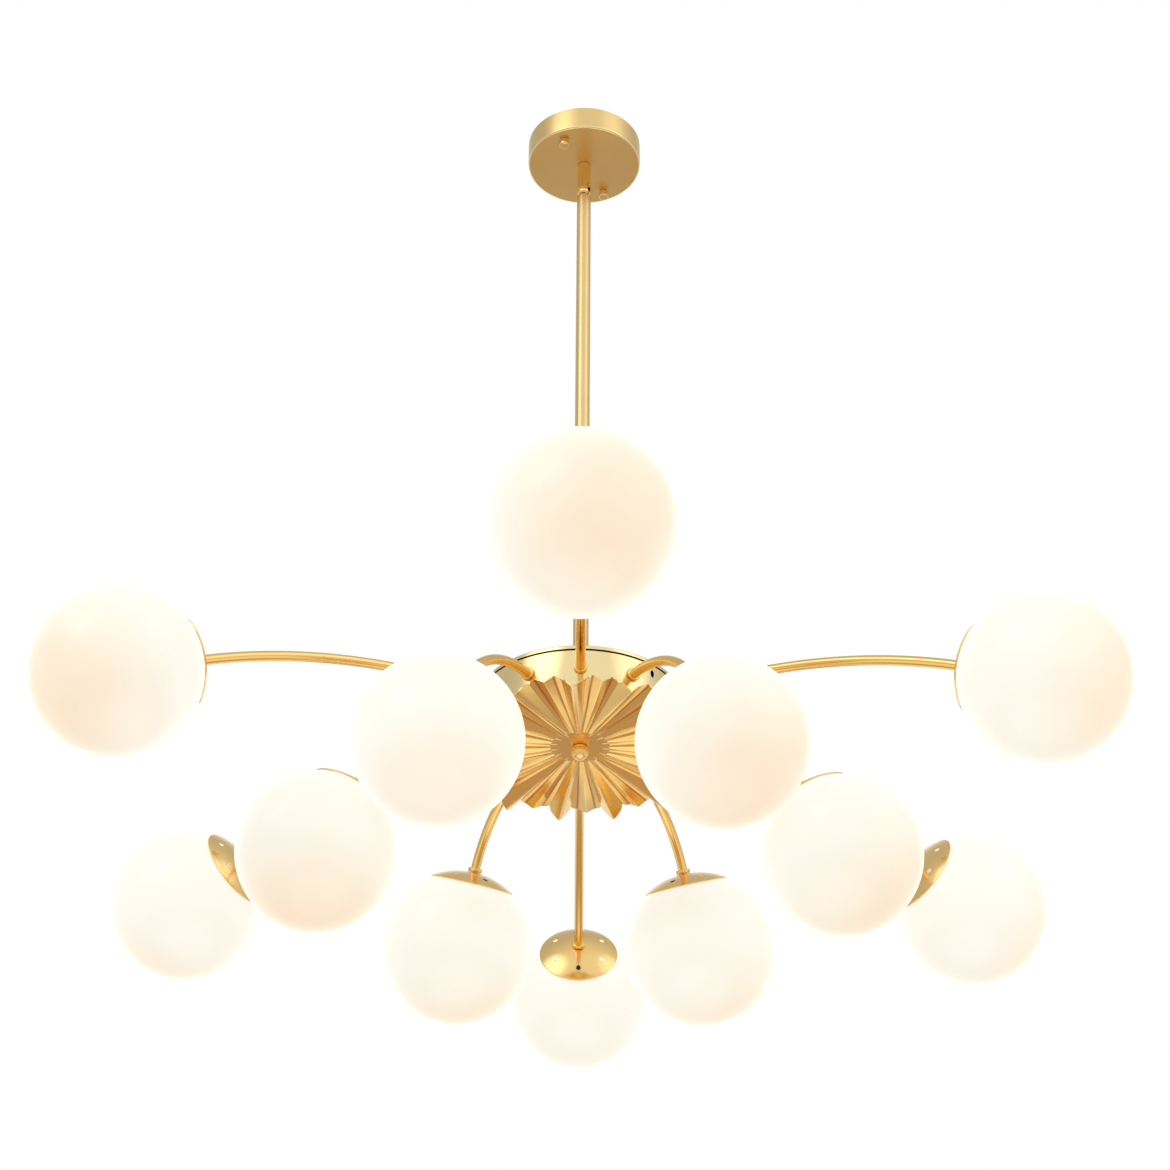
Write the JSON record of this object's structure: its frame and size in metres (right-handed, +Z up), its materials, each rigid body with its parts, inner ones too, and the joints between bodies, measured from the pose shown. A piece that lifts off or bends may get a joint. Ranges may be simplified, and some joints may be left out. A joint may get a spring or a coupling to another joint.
{
  "type": "multi arm chandelier",
  "caption": "Ceiling chandelier with opal glass globes on long and short curved arms that leave a round drum, hung on a down rod from a swivelling canopy.",
  "frame": {"origin": "middle of the ceiling bracket's top face, where it lies against the ceiling, above the rod's axis", "axes": "+Z up out of the bracket into the ceiling; -Y towards the picture's camera, +X to its right; the rod hangs along -Z and one long arm points along -Y"},
  "size_m": [0.9414, 1.0682, 0.9546],
  "materials": {
    "satin_gold": "satin gold plating",
    "deep_gold": "brushed deep gold lacquer",
    "pale_gold": "polished pale gold plating",
    "zinc_steel": "zinc plated",
    "opal_glass": "satin opal white, lit from inside",
    "white_ceramic": "unglazed, with a frosted bulb",
    "cream_plastic": "moulded"
  },
  "bodies": {
    "ceiling_mount": {"ceiling_bracket": "zinc_steel", "terminal_block": "cream_plastic", "canopy": "satin_gold", "canopy_nut_front": "pale_gold", "canopy_nut_back": "pale_gold"},
    "swivel": {"swivel_socket": "satin_gold"},
    "fixture": {"down_rod": "satin_gold", "drum_body": "pale_gold", "drum_lid": "pale_gold", "tie_rod": "zinc_steel", "starburst_plate": "deep_gold", "finial": "deep_gold", "arm_long_1": "deep_gold", "cup_long_1": "satin_gold", "lamp_long_1": "white_ceramic", "arm_long_2": "deep_gold", "cup_long_2": "satin_gold", "lamp_long_2": "white_ceramic", "arm_long_3": "deep_gold", "cup_long_3": "satin_gold", "lamp_long_3": "white_ceramic", "arm_long_4": "deep_gold", "cup_long_4": "satin_gold", "lamp_long_4": "white_ceramic", "arm_long_5": "deep_gold", "cup_long_5": "satin_gold", "lamp_long_5": "white_ceramic", "arm_long_6": "deep_gold", "cup_long_6": "satin_gold", "lamp_long_6": "white_ceramic", "arm_short_1": "deep_gold", "cup_short_1": "satin_gold", "lamp_short_1": "white_ceramic", "arm_short_2": "deep_gold", "cup_short_2": "satin_gold", "lamp_short_2": "white_ceramic", "arm_short_3": "deep_gold", "cup_short_3": "satin_gold", "lamp_short_3": "white_ceramic", "arm_short_4": "deep_gold", "cup_short_4": "satin_gold", "lamp_short_4": "white_ceramic", "arm_short_5": "deep_gold", "cup_short_5": "satin_gold", "lamp_short_5": "white_ceramic", "arm_short_6": "deep_gold", "cup_short_6": "satin_gold", "lamp_short_6": "white_ceramic"},
    "globe_long_1": {"globe_long_1": "opal_glass"},
    "globe_long_2": {"globe_long_2": "opal_glass"},
    "globe_long_3": {"globe_long_3": "opal_glass"},
    "globe_long_4": {"globe_long_4": "opal_glass"},
    "globe_long_5": {"globe_long_5": "opal_glass"},
    "globe_long_6": {"globe_long_6": "opal_glass"},
    "globe_short_1": {"globe_short_1": "opal_glass"},
    "globe_short_2": {"globe_short_2": "opal_glass"},
    "globe_short_3": {"globe_short_3": "opal_glass"},
    "globe_short_4": {"globe_short_4": "opal_glass"},
    "globe_short_5": {"globe_short_5": "opal_glass"},
    "globe_short_6": {"globe_short_6": "opal_glass"}
  },
  "joints": [
    {"name": "socket_turn", "type": "hinge", "parent": "ceiling_mount", "child": "swivel", "pos_m": [0, 0, -0.0285], "axis": [0, 0, 1], "range_deg": [-170, 170]},
    {"name": "rod_tilt", "type": "hinge", "parent": "swivel", "child": "fixture", "pos_m": [0, 0, -0.0654], "axis": [-0.5, -0.866, 0], "range_deg": [0, 25]},
    {"name": "globe_long_1_unscrew", "type": "hinge", "parent": "fixture", "child": "globe_long_1", "pos_m": [0, -0.45915, -0.82523], "axis": [0, -0.9107, -0.4131], "continuous": true},
    {"name": "globe_long_2_unscrew", "type": "hinge", "parent": "fixture", "child": "globe_long_2", "pos_m": [0.39764, -0.22958, -0.82523], "axis": [0.7887, -0.4553, -0.4131], "continuous": true},
    {"name": "globe_long_3_unscrew", "type": "hinge", "parent": "fixture", "child": "globe_long_3", "pos_m": [0.39764, 0.22958, -0.82523], "axis": [0.7887, 0.4553, -0.4131], "continuous": true},
    {"name": "globe_long_4_unscrew", "type": "hinge", "parent": "fixture", "child": "globe_long_4", "pos_m": [0, 0.45915, -0.82523], "axis": [0, 0.9107, -0.4131], "continuous": true},
    {"name": "globe_long_5_unscrew", "type": "hinge", "parent": "fixture", "child": "globe_long_5", "pos_m": [-0.39764, 0.22958, -0.82523], "axis": [-0.7887, 0.4553, -0.4131], "continuous": true},
    {"name": "globe_long_6_unscrew", "type": "hinge", "parent": "fixture", "child": "globe_long_6", "pos_m": [-0.39764, -0.22958, -0.82523], "axis": [-0.7887, -0.4553, -0.4131], "continuous": true},
    {"name": "globe_short_1_unscrew", "type": "hinge", "parent": "fixture", "child": "globe_short_1", "pos_m": [0.1214, -0.21026, -0.87963], "axis": [0.22, -0.381, -0.898], "continuous": true},
    {"name": "globe_short_2_unscrew", "type": "hinge", "parent": "fixture", "child": "globe_short_2", "pos_m": [0.24279, 0, -0.87963], "axis": [0.4399, 0, -0.898], "continuous": true},
    {"name": "globe_short_3_unscrew", "type": "hinge", "parent": "fixture", "child": "globe_short_3", "pos_m": [0.1214, 0.21026, -0.87963], "axis": [0.22, 0.381, -0.898], "continuous": true},
    {"name": "globe_short_4_unscrew", "type": "hinge", "parent": "fixture", "child": "globe_short_4", "pos_m": [-0.1214, 0.21026, -0.87963], "axis": [-0.22, 0.381, -0.898], "continuous": true},
    {"name": "globe_short_5_unscrew", "type": "hinge", "parent": "fixture", "child": "globe_short_5", "pos_m": [-0.24279, 0, -0.87963], "axis": [-0.4399, 0, -0.898], "continuous": true},
    {"name": "globe_short_6_unscrew", "type": "hinge", "parent": "fixture", "child": "globe_short_6", "pos_m": [-0.1214, -0.21026, -0.87963], "axis": [-0.22, -0.381, -0.898], "continuous": true}
  ]
}
